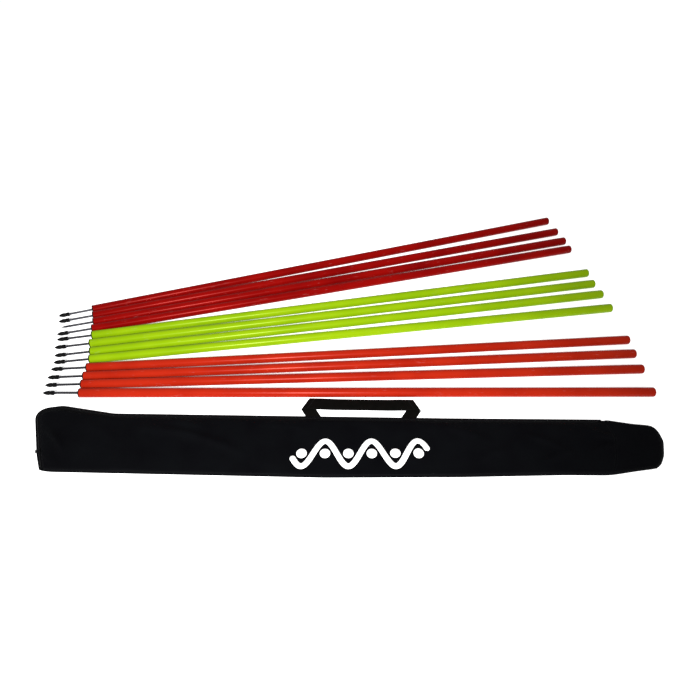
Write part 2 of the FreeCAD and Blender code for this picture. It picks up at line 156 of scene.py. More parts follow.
def make_tube_plastic(name, colour, deep, gleam):
    """Satin extruded plastic: faint drawn lines, cloudy pigment, handling scuffs and dust."""
    s = Shader(name)
    place = s.place("own_place")
    cloud = s.noise(place, 9, detail=4)
    tint = s.mix(s.span(cloud, 0.35, 0.7), colour, deep)
    streak = s.noise(s.place("own_place", (6, 700, 700)), 1, detail=2)
    tint = s.mix(s.span(streak, 0.3, 0.75, 0.0, 0.16), tint, shade(deep, 0.8))
    scuff_base = s.noise(s.place("own_place", (30, 240, 240)), 1, detail=8, roughness=0.7)
    scuff = s.span(scuff_base, 0.62, 0.72)
    tint = s.mix(s.math("MULTIPLY", scuff, 0.10), tint, (0.75, 0.7, 0.66, 1))
    grain = s.noise(place, 2600, detail=2)
    height = s.math("ADD", s.math("MULTIPLY", streak, 0.6), s.math("MULTIPLY", grain, 0.4))
    s.set(Base_Color=tint, Normal=s.bump(height, 0.00002), Specular_IOR_Level=0.1,
          Specular_Tint=gleam)
    rough = s.math("ADD", s.span(cloud, 0.3, 0.7, 0.2, 0.27), s.math("MULTIPLY", scuff, 0.18))
    s.set(Roughness=rough)
    return s.material


def make_black_plastic(name, level, roughness, grain_scale):
    """Moulded black plastic or rubber with a fine spark-eroded grain and paler rubbed spots."""
    s = Shader(name)
    place = s.place("own_place")
    worn = s.span(s.noise(place, 320, detail=5, roughness=0.65), 0.5, 0.75)
    s.set(Base_Color=s.mix(worn, (level, level, level * 1.05, 1), shade((level,) * 3, 2.4)))
    grain = s.noise(place, grain_scale, detail=3)
    s.set(Normal=s.bump(grain, 0.00003), Specular_IOR_Level=0.06,
          Roughness=s.span(worn, 0, 1, roughness, roughness + 0.16))
    return s.material


def make_steel():
    """Zinc-plated rod: drawn along its length, with milky patches in the plating."""
    s = Shader("zinc_plated_steel")
    place = s.place("own_place")
    patch = s.noise(place, 130, detail=4)
    tint = s.mix(s.span(patch, 0.35, 0.65), (0.07, 0.07, 0.08, 1), (0.035, 0.035, 0.04, 1))
    s.set(Metallic=1.0, Base_Color=tint)
    drawn = s.noise(s.place("own_place", (40, 3500, 3500)), 1, detail=2)
    s.set(Normal=s.bump(drawn, 0.000015), Roughness=s.span(patch, 0.3, 0.7, 0.22, 0.42),
          Specular_Tint=(0.12, 0.12, 0.13, 1))
    return s.material


def weave(s, attribute, pitch):
    """Height of a plain weave: round yarns that pass over and under each other."""
    scaled = s.place(attribute, (1 / pitch, 1 / pitch, 1 / pitch))
    parts = s.add("SeparateXYZ", {"Vector": scaled}).outputs
    yarns = [s.ridge(parts[i]) for i in (0, 1)]
    over = s.add("TexChecker", {"Vector": scaled, "Scale": 1.0}).outputs["Fac"]
    first = s.math("MULTIPLY", over, yarns[0])
    second = s.math("MULTIPLY", s.math("SUBTRACT", 1.0, over), yarns[1])
    return s.math("ADD", first, second)


def make_bag_cloth():
    """Black woven polyester: a fine weave, slubs and lint."""
    s = Shader("bag_polyester")
    place = s.place("cloth_place")
    threads = weave(s, "cloth_place", 0.6 * MM)
    slub = s.noise(s.place("cloth_place", (40, 900, 1)), 1, detail=3)
    cloud = s.noise(place, 14, detail=5)
    base = s.mix(s.span(cloud, 0.3, 0.7), linear(3, 3, 5), linear(6, 7, 9))
    base = s.mix(s.span(threads, 0.1, 0.9, 0.0, 0.45), base, linear(3, 3, 4))
    lint = s.span(s.noise(place, 420, detail=6, roughness=0.8), 0.70, 0.76)
    base = s.mix(s.math("MULTIPLY", lint, 0.2), base, linear(50, 52, 56))
    height = s.math("ADD", threads, s.math("MULTIPLY", slub, 0.5))
    pucker = s.noise(s.place("cloth_place", (60, 34, 1)), 1, detail=3)
    normal = s.bump(pucker, 0.0006)
    s.set(Base_Color=base, Normal=s.bump(height, 0.00012, normal),
          Roughness=s.span(cloud, 0.3, 0.7, 0.62, 0.78),
          Sheen_Weight=0.003, Sheen_Roughness=0.4, Specular_IOR_Level=0.022)
    return s.material


def make_webbing():
    """Ribbed nylon webbing: fine cross ribs, lengthwise bands and a selvedge, drawn darker in the
    grooves between the ribs as painted shade.
    """
    s = Shader("black_webbing")
    scaled = s.place("cloth_place", (1 / (1.5 * MM), 1 / (2.5 * MM), 1))
    parts = s.add("SeparateXYZ", {"Vector": scaled}).outputs
    height = s.math("ADD", s.ridge(parts[0]), s.math("MULTIPLY", s.ridge(parts[1]), 0.7))
    cloud = s.noise(s.place("cloth_place"), 60, detail=5)
    base = s.mix(s.span(cloud, 0.3, 0.7), linear(4, 4, 3), linear(8, 7, 6))
    # Painted shade: the low parts between the ribs are drawn darker.
    base = s.mix(s.span(height, 0.2, 1.5, 0.4, 0.0), base, linear(3, 3, 3))
    s.set(Base_Color=base, Normal=s.bump(height, 0.0002), Roughness=0.6,
          Sheen_Weight=0.004, Sheen_Roughness=0.35, Specular_IOR_Level=0.028)
    return s.material


def make_zip_cloth():
    """Herringbone zip tape, drawn darker between the yarns as painted shade."""
    s = Shader("zip_tape_cloth")
    threads = weave(s, "cloth_place", 0.9 * MM)
    # Painted shade: the colour darkens where the weave's height is low, between the yarns.
    base = s.mix(s.span(threads, 0.2, 0.9), linear(3, 3, 4), linear(9, 9, 11))
    s.set(Base_Color=base, Normal=s.bump(threads, 0.00015), Roughness=0.66,
          Sheen_Weight=0.004, Specular_IOR_Level=0.04)
    return s.material


def make_thread(name, colour):
    """Twisted sewing thread."""
    s = Shader(name)
    twist = s.noise(s.place("own_place"), 2400, detail=2)
    s.set(Base_Color=s.mix(twist, shade(colour, 0.6), colour), Roughness=0.5,
          Normal=s.bump(twist, 0.00005), Specular_IOR_Level=0.08)
    return s.material


def make_print_ink():
    """White screen print: the weave shows through it, with worn pinholes."""
    s = Shader("white_print")
    threads = weave(s, "cloth_place", 0.6 * MM)
    wear = s.span(s.noise(s.place("cloth_place"), 260, detail=6, roughness=0.75), 0.66, 0.74)
    base = s.mix(wear, linear(248, 248, 246), linear(214, 214, 214))
    s.set(Base_Color=base, Normal=s.bump(threads, 0.00005), Roughness=0.55)
    return s.material


def make_zip_metal():
    """Black enamelled zinc with bright metal where the edges have rubbed."""
    s = Shader("black_enamel")
    place = s.add("TexCoord").outputs["Object"]
    rubbed = s.span(s.noise(place, 900, detail=5, roughness=0.7), 0.6, 0.68)
    s.set(Base_Color=s.mix(rubbed, linear(8, 8, 9), linear(70, 68, 64)),
          Specular_IOR_Level=0.15, Metallic=s.math("MULTIPLY", rubbed, 0.9),
          Roughness=s.span(rubbed, 0, 1, 0.34, 0.25))
    return s.material


def make_zip_nylon():
    s = Shader("zip_nylon")
    gloss = s.noise(s.place("own_place"), 700, detail=3)
    s.set(Base_Color=s.mix(gloss, linear(4, 4, 5), linear(10, 10, 11)),
          Specular_IOR_Level=0.1,
          Roughness=s.span(gloss, 0.3, 0.7, 0.28, 0.42))
    return s.material


DARK_RED = make_tube_plastic("tube_dark_red", linear(120, 6, 4), linear(102, 3, 3),
                             (1, 0.18, 0.16, 1))
YELLOW_GREEN = make_tube_plastic("tube_yellow_green", linear(122, 152, 8),
                                 linear(110, 143, 4), (0.9, 1, 0.3, 1))
ORANGE_RED = make_tube_plastic("tube_orange_red", linear(148, 30, 12), linear(134, 22, 7),
                               (1, 0.35, 0.3, 1))
BLACK_NYLON = make_black_plastic("black_nylon", 0.002, 0.4, 1500)
BLACK_RUBBER = make_black_plastic("black_rubber", 0.002, 0.5, 1100)
STEEL = make_steel()
BAG_CLOTH = make_bag_cloth()
WEBBING = make_webbing()
ZIP_CLOTH = make_zip_cloth()
ZIP_NYLON = make_zip_nylon()
ZIP_METAL = make_zip_metal()
BLACK_THREAD = make_thread("black_thread", linear(13, 13, 15))
PRINT_INK = make_print_ink()


# -------------------- making meshes

def new_piece(name, points, faces, material, sharp_over=35, face_up=False):
    """A mesh object with smooth faces that break at edges sharper than an angle.

    face_up turns an open sheet so that its normals look up."""
    mesh = bpy.data.meshes.new(name)
    mesh.from_pydata([tuple(p) for p in points], [], faces)
    mesh.validate()
    work = bmesh.new()
    work.from_mesh(mesh)
    bmesh.ops.recalc_face_normals(work, faces=work.faces)
    if face_up and sum(f.normal.z * f.calc_area() for f in work.faces) < 0:
        bmesh.ops.reverse_faces(work, faces=work.faces)
    work.to_mesh(mesh)
    work.free()
    mesh.shade_smooth()
    mesh.set_sharp_from_angle(angle=math.radians(sharp_over))
    mesh.materials.append(material)
    piece = bpy.data.objects.new(name, mesh)
    bpy.context.scene.collection.objects.link(piece)
    return piece


def keep_places(piece, attribute, places):
    """Store each vertex's own coordinates, in metres, for the material to read."""
    values = piece.data.attributes.new(attribute, "FLOAT_VECTOR", "POINT")
    values.data.foreach_set("vector", np.asarray(places, dtype=np.float32).ravel())


def finish_piece(piece, body, slot, *replaced):
    """Hide the CAD nodes that a piece stands for and hang it on the body it rides on; slot is not
    used.
    """
    if replaced:
        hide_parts(*replaced)
    if body:
        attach(piece, body)
    return piece


def ring_faces(rings, closed=False):
    """The faces between rings of point numbers; a ring of one point closes an end."""
    faces = []
    pairs = list(zip(rings, rings[1:] + rings[:1]))
    for near, far in pairs if closed else pairs[:-1]:
        if len(near) == len(far) == 1:
            continue
        for k in range(max(len(near), len(far))):
            corners = ((near, k), (far, k), (far, k + 1), (near, k + 1))
            faces.append(tuple(dict.fromkeys(ring[i % len(ring)] for ring, i in corners)))
    return faces


def turned(name, profile, place, material, sides=48, closed=False, seed=0.0):
    """A solid turned about X from (x, radius) points in mm, put in place by a matrix."""
    points, rings = [], []
    for x, radius in profile:
        if radius < 1e-6:
            rings.append([len(points)])
            points.append((x, 0, 0))
            continue
        rings.append(list(range(len(points), len(points) + sides)))
        for k in range(sides):
            turn = 2 * math.pi * k / sides
            points.append((x, radius * math.cos(turn), radius * math.sin(turn)))
    local = np.array(points) * MM
    world = [place @ Vector(p) for p in local]
    piece = new_piece(name, world, ring_faces(rings, closed), material)
    keep_places(piece, "own_place", local + np.array([seed, seed * 0.37, 0]))
    return piece


def arc(centre_x, centre_r, radius, start, end, steps):
    """(x, r) points on an arc, with angles in degrees from the X axis."""
    return [(centre_x + radius * math.cos(math.radians(a)),
             centre_r + radius * math.sin(math.radians(a)))
            for a in np.linspace(start, end, steps)]


# -------------------- the poles

def node_points(node):
    return np.array([v.co for v in frame["nodes"][node].data.vertices])


def axes_from(origin, along):
    """A matrix for a piece's own axes: its origin, and X along a level direction."""
    x_axis, z_axis = Vector(along), Vector((0, 0, 1))
    axes = Matrix((x_axis, z_axis.cross(x_axis), z_axis)).transposed().to_4x4()
    return Matrix.Translation(Vector(origin)) @ axes


def pole_frame(number):
    """The pole's own axes: X along it from 0 at the spike end of the tube."""
    tube = node_points("pole_%02d_capped_tube" % number)
    way = np.linalg.svd(tube - tube.mean(axis=0), full_matrices=False)[2][0]
    way[2] = 0
    way *= np.sign(way[0]) / np.linalg.norm(way)
    spike = node_points("pole_%02d_spike" % number)
    along = spike @ way
    tip = spike[along < along.min() + 0.1 * MM].mean(axis=0)
    start = tip + way * ROD_REACH * MM
    start[2] = TUBE_RADIUS * MM
    return axes_from(start, way)


def tube_profile():
    """The tube's wall, with its ends' edges broken and rings along it for even quads."""
    inner, ease = TUBE_RADIUS - TUBE_WALL, 0.25
    stations = np.linspace(ease, TUBE_LENGTH - ease, 31)
    outside = [(x, TUBE_RADIUS) for x in stations]
    inside = [(x, inner) for x in stations[::-1]]
    return ([(0, inner), (0, TUBE_RADIUS - ease)] + outside
            + [(TUBE_LENGTH, TUBE_RADIUS - ease), (TUBE_LENGTH, inner)] + inside)


def cap_profile():
    """The cap: a hollow spigot, a shadow groove at the tube's end and a rounded crown."""
    spigot = TUBE_RADIUS - TUBE_WALL - PUSH_GAP
    hollow = spigot - CAP_WALL
    crown = TUBE_LENGTH + CAP_HEIGHT
    groove = [(TUBE_LENGTH, spigot), (TUBE_LENGTH, TUBE_RADIUS - 0.45),
              (TUBE_LENGTH + 0.12, TUBE_RADIUS - 0.45), (TUBE_LENGTH + 0.5, TUBE_RADIUS)]
    shoulder = arc(crown - CAP_ROUNDING, TUBE_RADIUS - CAP_ROUNDING, CAP_ROUNDING, 90, 0, 14)
    face = [(crown, 3.2), (crown - 0.25, 2.4), (crown - 0.25, 0)]
    inside = [(crown - CAP_WALL, 0), (crown - CAP_WALL, hollow),
              (TUBE_LENGTH - CAP_SPIGOT, hollow), (TUBE_LENGTH - CAP_SPIGOT, spigot - 0.3),
              (TUBE_LENGTH - CAP_SPIGOT + 0.6, spigot)]
    return groove + shoulder + face + inside


def plug_profile():
    """The foot plug's flange and spigot, bored for the rod."""
    spigot = TUBE_RADIUS - TUBE_WALL - PUSH_GAP
    face = [(-PLUG_FLANGE, KNURL_RADIUS), (-PLUG_FLANGE, 4.6), (-PLUG_FLANGE + 0.5, 5.2),
            (-PLUG_FLANGE + 0.5, 9.6), (-PLUG_FLANGE, 10.2)]
    edge = arc(-PLUG_FLANGE + PLUG_CHAMFER, TUBE_RADIUS - PLUG_CHAMFER, PLUG_CHAMFER, 180, 90, 6)
    body = [(0, TUBE_RADIUS), (0, spigot), (PLUG_LENGTH - 3, spigot), (PLUG_LENGTH, spigot - 1),
            (PLUG_LENGTH, KNURL_RADIUS)]
    return face + edge + body


def rod_profile():
    """The rod with its turned point, the last of it rounded over."""
    shank = ROD_POINT - ROD_REACH
    point = [(-ROD_REACH, 0), (-ROD_REACH + 0.05, 0.18), (-ROD_REACH + 0.3, 0.38)]
    return (point + [(shank - 0.4, ROD_RADIUS - 0.08), (shank + 0.3, ROD_RADIUS)]
            + [(x, ROD_RADIUS) for x in np.linspace(shank + 8, -PLUG_FLANGE, 7)]
            + [(-PLUG_FLANGE + 0.2, KNURL_RADIUS), (ROD_HELD - 0.4, KNURL_RADIUS),
               (ROD_HELD, KNURL_RADIUS - 0.4), (ROD_HELD, 0)])


def cover_profile():
    """The cover: ogive nose, neck, ribbed collar and the blind hole for the point."""
    tip, mouth = -COVER_REACH, COVER_LENGTH - COVER_REACH
    nose_end = tip + COVER_NOSE
    rise, run = COVER_RADIUS - COVER_TIP_RADIUS, COVER_NOSE
    chord = math.hypot(run, rise)
    sag = math.sqrt(COVER_NOSE_RADIUS ** 2 - (chord / 2) ** 2)
    centre_x = (tip + nose_end) / 2 + sag * rise / chord
    centre_r = (COVER_TIP_RADIUS + COVER_RADIUS) / 2 - sag * run / chord
    first = math.degrees(math.atan2(COVER_TIP_RADIUS - centre_r, tip - centre_x))
    last = math.degrees(math.atan2(COVER_RADIUS - centre_r, nose_end - centre_x))
    nose = [(tip, 0), (tip + 0.05, 0.5)] + arc(centre_x, centre_r, COVER_NOSE_RADIUS,
                                              first, last, 14)
    neck = [(nose_end + 0.6, COVER_RADIUS - 0.05), (tip + COVER_NECK_FROM, COVER_NECK),
            (tip + COVER_COLLAR_FROM, COVER_NECK)]
    collar = [(tip + COVER_COLLAR_FROM + 0.7, COVER_RADIUS - 0.15)]
    for rib in range(3):
        start = tip + COVER_COLLAR_FROM + 1.1 + 2.1 * rib
        collar += [(start, COVER_RADIUS), (start + 1.3, COVER_RADIUS),
                   (start + 1.5, COVER_RADIUS - 0.35), (start + 1.9, COVER_RADIUS - 0.35)]
    hole = ROD_RADIUS + COVER_GAP
    mouth_edge = [(mouth - 0.3, COVER_RADIUS - 0.1), (mouth, COVER_RADIUS - 0.4),
                  (mouth, hole + 0.3), (mouth - 0.3, hole)]
    inside = [(ROD_POINT - ROD_REACH, hole), (-ROD_REACH - 0.4, 0.4), (-ROD_REACH - 0.4, 0)]
    return nose + neck + collar + mouth_edge + inside


def make_pole(number, plastic, slot):
    name = "pole_%02d" % number
    place = pole_frame(number)
    seed = 3.7 * number
    tube = turned(name + "_tube", tube_profile(), place, plastic, sides=64, closed=True, seed=seed)
    finish_piece(tube, name, slot, name + "_capped_tube")
    cap = turned(name + "_cap", cap_profile(), place, plastic, sides=64, closed=True, seed=seed + 1)
    finish_piece(cap, name, slot, name + "_capped_tube")
    plug = turned(name + "_plug", plug_profile(), place, BLACK_NYLON, sides=64, closed=True,
                  seed=seed)
    finish_piece(plug, name, "plug_black", name + "_foot_plug")
    rod = turned(name + "_rod", rod_profile(), place, STEEL, sides=40, seed=seed)
    finish_piece(rod, name, "spike_steel", name + "_spike")
    if number != BARE_SPIKE:
        cover = turned(name + "_point_cover", cover_profile(), place, BLACK_RUBBER, sides=40,
                       seed=seed)
        finish_piece(cover, name + "_cover", "cover_black", name + "_spike_cover")


FINISHES = ((DARK_RED, "tube_dark_red"), (YELLOW_GREEN, "tube_yellow_green"),
            (ORANGE_RED, "tube_orange_red"))
for number in range(POLE_COUNT):
    make_pole(number + 1, *FINISHES[number * len(FINISHES) // POLE_COUNT])


# -------------------- the bag's outline

EDGE_LEVEL = 2.5 * MM        # the height at which the CAD panels' outline is read
TAPE_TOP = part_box("zip_tape")[1].z
BACK_LOW, BACK_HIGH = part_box("bag_back_panel")
END_LOW, END_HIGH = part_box("bag_end_panel")
ZIP_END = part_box("zip_tape")[1].x
PANEL_INSET = 10.6 * MM      # from the bag's edge to the front panel's, beside the zip
RIM_STEP = 1.5 * MM


def surface_tree(meshes):
    """The surface of some meshes, for rays to land on."""
    points, faces = [], []
    for mesh in meshes:
        faces += [[len(points) + i for i in p.vertices] for p in mesh.polygons]
        points += [v.co.copy() for v in mesh.vertices]
    return BVHTree.FromPolygons(points, faces)


BAG_SOLID = surface_tree(frame["nodes"][name].data for name in ("bag_back_panel", "bag_end_panel"))


def edge_at_x(x, side):
    """The bag's front (-1) or back (1) edge at a place along it."""
    start = Vector((x, side, EDGE_LEVEL))
    return Vector((x, BAG_SOLID.ray_cast(start, Vector((0, -side, 0)))[0].y))


def edge_at_y(y, side):
    """The bag's left (-1) or right (1) end at a place across it."""
    start = Vector((2 * side, y, EDGE_LEVEL))
    return Vector((BAG_SOLID.ray_cast(start, Vector((-side, 0, 0)))[0].x, y))


def evenly(points, step=None, count=None):
    """A polyline cut again into even steps."""
    points = np.array(points, dtype=float)
    reach = np.concatenate([[0], np.cumsum(np.linalg.norm(np.diff(points, axis=0), axis=1))])
    count = count or max(2, int(round(reach[-1] / step)) + 1)
    stations = np.linspace(0, reach[-1], count)
    return np.stack([np.interp(stations, reach, points[:, k])
                     for k in range(points.shape[1])], axis=1)


def soften(points, reach):
    """Round a polyline's corners with a bell-shaped average; its two ends stay put."""
    half = int(reach * 3)
    bell = np.exp(-0.5 * (np.arange(-half, half + 1) / reach) ** 2)
    bell /= bell.sum()
    before = 2 * points[0] - points[half:0:-1]
    after = 2 * points[-1] - points[-2:-half - 2:-1]
    long = np.concatenate([before, points, after])
    return np.stack([np.convolve(long[:, k], bell, mode="valid")
                     for k in range(points.shape[1])], axis=1)


def ease(value, low, high):
    """0 below low, 1 above high, and a smooth step between."""
    t = np.clip((np.asarray(value, dtype=float) - low) / (high - low), 0, 1)
    return t * t * (3 - 2 * t)


def outline_curves():
    """The bag's edge as two curves: the front edge, and the left end with the back edge."""
    front_left_y = edge_at_x(BACK_LOW.x + 75 * MM, -1).y + 4 * MM
    left = [edge_at_y(y, -1) for y in np.linspace(front_left_y, BACK_HIGH.y - 16 * MM, 60)]
    tip_x = END_HIGH.x - 14 * MM
    back = [edge_at_x(x, 1) for x in np.linspace(left[-1].x + 10 * MM, tip_x, 500)]
    front = [left[0]] + [edge_at_x(x, -1) for x in
                         np.linspace(left[0].x + 14 * MM, END_HIGH.x - 42 * MM, 500)]
    rim = soften(evenly(left + back, step=RIM_STEP), 4)
    front = soften(evenly(front, step=RIM_STEP), 8)
    end_y = np.linspace(front[-1][1], back[-1].y, 60)
    end = [front[-1]] + [edge_at_y(y, 1) for y in end_y[1:-1]] + [rim[-1]]
    return front, rim, soften(evenly(end, step=RIM_STEP), 3)


FRONT_EDGE, RIM, TIP_EDGE = outline_curves()


def sideways(points):
    """Unit vectors to the right of the way along a polyline."""
    way = np.gradient(points[:, :2], axis=0)
    way /= np.linalg.norm(way, axis=1)[:, None]
    return np.stack([way[:, 1], -way[:, 0]], axis=1)


def rim_inside(inset):
    """The left-and-back edge moved into the bag; inset is a number or one for each point."""
    return RIM + sideways(RIM) * np.reshape(inset, (-1, 1))


def zip_run(inset, past=0.0):
    """The rim moved in by an inset, from the zip's lower end to its other end or past it."""
    line = rim_inside(inset)
    return evenly(line[line[:, 0] < ZIP_END + past], step=RIM_STEP)


# -------------------- the bag's cloth

LENGTHWISE, CROSSWISE = 300, 36
SEAM_X = END_LOW.x           # the end panel's seam, on the front edge
CORNER_AT = int(np.argmax(RIM @ np.array([-0.55, 1.0])))


def patch(front, left, tip, back):
    """A grid of points blended between four edges: [lengthwise, crosswise, xy]."""
    u = np.linspace(0, 1, len(front))[:, None, None]
    v = np.linspace(0, 1, len(left))[None, :, None]
    across = (1 - v) * front[:, None] + v * back[:, None]
    along = (1 - u) * left[None, :] + u * tip[None, :]
    corners = ((1 - u) * (1 - v) * front[0] + u * (1 - v) * front[-1]
               + (1 - u) * v * back[0] + u * v * back[-1])
    return across + along - corners


def bag_grid(inset):
    """The bag seen from above as a grid, its zipped edges moved in by an inset."""
    fade = 1 - ease(RIM[:, 0], ZIP_END - 5 * MM, ZIP_END + 25 * MM)
    rim = rim_inside(inset * fade)
    front = FRONT_EDGE[FRONT_EDGE[:, 0] > rim[0, 0] + 0.5 * MM]
    front = np.concatenate([rim[:1], front])
    return patch(evenly(front, count=LENGTHWISE), evenly(rim[:CORNER_AT + 1], count=CROSSWISE),
                 evenly(TIP_EDGE, count=CROSSWISE), evenly(rim[CORNER_AT:], count=LENGTHWISE))


def round_over(distance, radius):
    """The height, from 0 to 1, of a rounded edge at a distance inside it."""
    t = np.clip(distance / radius, 0, 1)
    return np.sqrt(1 - (1 - t) ** 2)


def smooth_noise(x, y, scale, seed):
    """Soft hills and hollows, from -1 to 1."""
    flat = [noise.noise(Vector((a * scale[0], b * scale[1], seed)))
            for a, b in zip(np.ravel(x), np.ravel(y))]
    return np.reshape(flat, np.shape(x)) * 1.6


def tail_lift(x, y):
    """How far the handle's two sewn tails raise the cloth that lies on them."""
    lift = np.zeros(np.shape(x))
    for side in ("left", "right"):
        low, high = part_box("handle_tail_" + side)
        inside_x = ease(x, low.x - 5 * MM, low.x) * (1 - ease(x, high.x, high.x + 5 * MM))
        inside_y = ease(y, low.y - 6 * MM, low.y)
        lift = np.maximum(lift, 1.9 * MM * inside_x * inside_y)
    return lift


# Folds in the front panel: the two ends of each, from the bag's left end and its front
# edge in mm, then its width and height in mm.
FOLDS = [
    ((250, 132), (560, 48), 11, 3.6), ((300, 148), (470, 118), 9, 2.0),
    ((40, 128), (112, 52), 8, 3.0), ((120, 150), (230, 84), 12, 1.8),
    ((20, 60), (110, 30), 9, 1.5), ((560, 140), (700, 118), 8, 1.4),
    ((880, 36), (1010, 92), 12, 1.7), ((1010, 134), (1130, 92), 10, 2.2),
    ((1080, 28), (1190, 74), 10, 1.8), ((1215, 112), (1325, 58), 8, 2.8),
    ((1240, 30), (1345, 66), 9, 2.0), ((1370, 128), (1452, 78), 7, 2.6),
    ((1380, 104), (1462, 96), 6, 2.2), ((1372, 62), (1458, 84), 7, 2.2),
]


def fold_height(x, y):
    """The folds' height at a place: long ridges that fade at both ends."""
    height = np.zeros(np.shape(x))
    start = Vector((BACK_LOW.x, BACK_LOW.y))
    for first, last, width, rise in FOLDS:
        a = start + Vector(first) * MM
        way = Vector(last) * MM + start - a
        length = way.length
        way /= length
        along = ((x - a.x) * way.x + (y - a.y) * way.y) / length
        off = (x - a.x) * -way.y + (y - a.y) * way.x
        bend = off - 0.06 * length * np.sin(along * math.pi)
        fade = ease(along, -0.1, 0.35) * (1 - ease(along, 0.65, 1.1))
        height += rise * MM * fade * np.exp(-(bend / (width * MM)) ** 2)
    return height


def top_heights(grid, crown):
    """How high the front panel stands over the ground, before it settles."""
    x, y = grid[..., 0], grid[..., 1]
    edges = [grid[:, :1], grid[:, -1:], grid[:1], grid[-1:]]
    front, back, left, tip = [np.linalg.norm(grid - edge, axis=2) for edge in edges]
    border = TAPE_TOP + 0.4 * MM - (TAPE_TOP - 0.6 * MM) * (1 - ease(
        np.minimum(front, tip) - np.minimum(back, left), -60 * MM, 60 * MM))
    rise = np.minimum.reduce([round_over(front, 9 * MM), round_over(back, 16 * MM),
                              round_over(left, 16 * MM), round_over(tip, 16 * MM)])
    hills = smooth_noise(x, y, (9, 22), 4.2) * 1.2 * MM
    return border + (crown + hills - border) * rise + fold_height(x, y) * rise + tail_lift(x, y)


def grid_faces(rows, columns):
    """The quads of a grid of points, numbered row by row."""
    starts = [i * columns + j for i in range(rows - 1) for j in range(columns - 1)]
    return [(a, a + columns, a + columns + 1, a + 1) for a in starts]


SETTLE_FRAMES = 24
FORMER_DROP = 2.6 * MM       # how far the former lies below the cloth's starting shape
CLOTH_SPACE = 0.4 * MM


def settle(points, border, slack_weight):
    """Let the front panel's cloth, a little longer than its space, settle on a low former."""
    rows, columns = points.shape[:2]
    faces = grid_faces(rows, columns)
    former_points = points.copy()
    former_points[..., 2] = np.maximum(points[..., 2] - FORMER_DROP, 0.5 * MM)
    former = new_piece("settling_former", former_points.reshape(-1, 3), faces, BAG_CLOTH)
    former.modifiers.new("Collision", "COLLISION")
    former.collision.thickness_outer = CLOTH_SPACE
    former.collision.cloth_friction = 12
    cloth = new_piece("settling_cloth", points.reshape(-1, 3), faces, BAG_CLOTH)
    pins = cloth.vertex_groups.new(name="pins")
    for index in np.flatnonzero(border.ravel()):
        pins.add([int(index)], 1.0, "REPLACE")
    slack = cloth.vertex_groups.new(name="slack")
    for index, weight in enumerate(slack_weight.ravel()):
        slack.add([index], float(weight), "REPLACE")
    simulation = cloth.modifiers.new("Cloth", "CLOTH")
    settings = simulation.settings
    settings.quality = 6
    settings.mass = 0.02
    settings.tension_stiffness = settings.compression_stiffness = 12
    settings.shear_stiffness = 4
    settings.bending_stiffness = 0.06
    settings.air_damping = 2
    settings.vertex_group_mass = "pins"
    settings.vertex_group_shrink = "slack"
    settings.shrink_min, settings.shrink_max = 0.0, -0.035
    simulation.collision_settings.distance_min = CLOTH_SPACE
    simulation.point_cache.frame_start, simulation.point_cache.frame_end = 1, SETTLE_FRAMES
    scene = bpy.context.scene
    for step in range(1, SETTLE_FRAMES + 1):
        scene.frame_set(step)
    shape = cloth.evaluated_get(bpy.context.evaluated_depsgraph_get()).to_mesh()
    settled = np.zeros(rows * columns * 3)
    shape.vertices.foreach_get("co", settled)
    scene.frame_set(1)
    for helper in (cloth, former):
        bpy.data.objects.remove(helper)
    return settled.reshape(rows, columns, 3)


def blur(grid, rounds):
    """Average each inner point of a grid with its four neighbours."""
    for _ in range(rounds):
        middle = (grid[:-2, 1:-1] + grid[2:, 1:-1] + grid[1:-1, :-2] + grid[1:-1, 2:]) / 4
        grid[1:-1, 1:-1] = 0.5 * grid[1:-1, 1:-1] + 0.5 * middle
    return grid


def declare(points, middle=np.max):
    """Work out the flat length and width of the grid of points that a piece was cut to; nothing
    keeps them.

    middle picks the length out of those of the grid's rows, and the width out of its columns."""
    steps = [np.linalg.norm(np.diff(points, axis=axis), axis=2) for axis in (0, 1)]
    length, width = middle(steps[0].sum(axis=0)), middle(steps[1].sum(axis=1))


def thicken(piece, name, thickness, offset):
    wall = piece.modifiers.new(name, "SOLIDIFY")
    wall.thickness, wall.offset = thickness, offset


def cloth_piece(name, grid, thickness=0.6 * MM, offset=-1.0, levels=1,
                material=BAG_CLOTH):
    """A sheet of cloth with its own thickness and, if asked, finer levels of smoothness."""
    points = grid.reshape(-1, 3)
    piece = new_piece(name, points, grid_faces(*grid.shape[:2]), material, sharp_over=75,
                      face_up=True)
    keep_places(piece, "cloth_place", points)
    declare(grid)
    if levels:
        finer = piece.modifiers.new("finer", "SUBSURF")
        finer.levels = finer.render_levels = levels
    thicken(piece, "cloth thickness", thickness, offset)
    return piece


def make_front_cloth():
    """The front panel's settled points, from the left end to the tip."""
    grid = bag_grid(PANEL_INSET)
    heights = top_heights(grid, 9.6 * MM)
    points = np.concatenate([grid, heights[..., None]], axis=2)
    border = np.zeros(grid.shape[:2], dtype=bool)
    border[:2], border[-2:], border[:, :1], border[:, -2:] = True, True, True, True
    along = np.linspace(0, 1, LENGTHWISE)[:, None] + np.zeros(grid.shape[:2])
    slack = 0.25 + 0.75 * np.maximum(1 - ease(along, 0.1, 0.3), ease(along, 0.55, 0.8))
    settled = blur(settle(points, border, slack), 2)
    edge = ease(np.minimum.reduce([np.linalg.norm(grid - side, axis=2) for side in
                                   (grid[:, :1], grid[:, -1:], grid[:1], grid[-1:])]),
                2 * MM, 22 * MM)
    settled[..., 2] += 0.8 * fold_height(grid[..., 0], grid[..., 1]) * edge
    return settled


def strip(line, profile):
    """A strip that follows a line on the bag: profile is (inset, height) across it, in mm.

    line gives the run's points for an inset in metres."""
    rows = []
    count = len(line(0.0))
    for inset, height in profile:
        run = evenly(line(inset * MM), count=count)
        rows.append(np.concatenate([run, np.full((count, 1), height * MM)], axis=1))
    return np.stack(rows, axis=1)


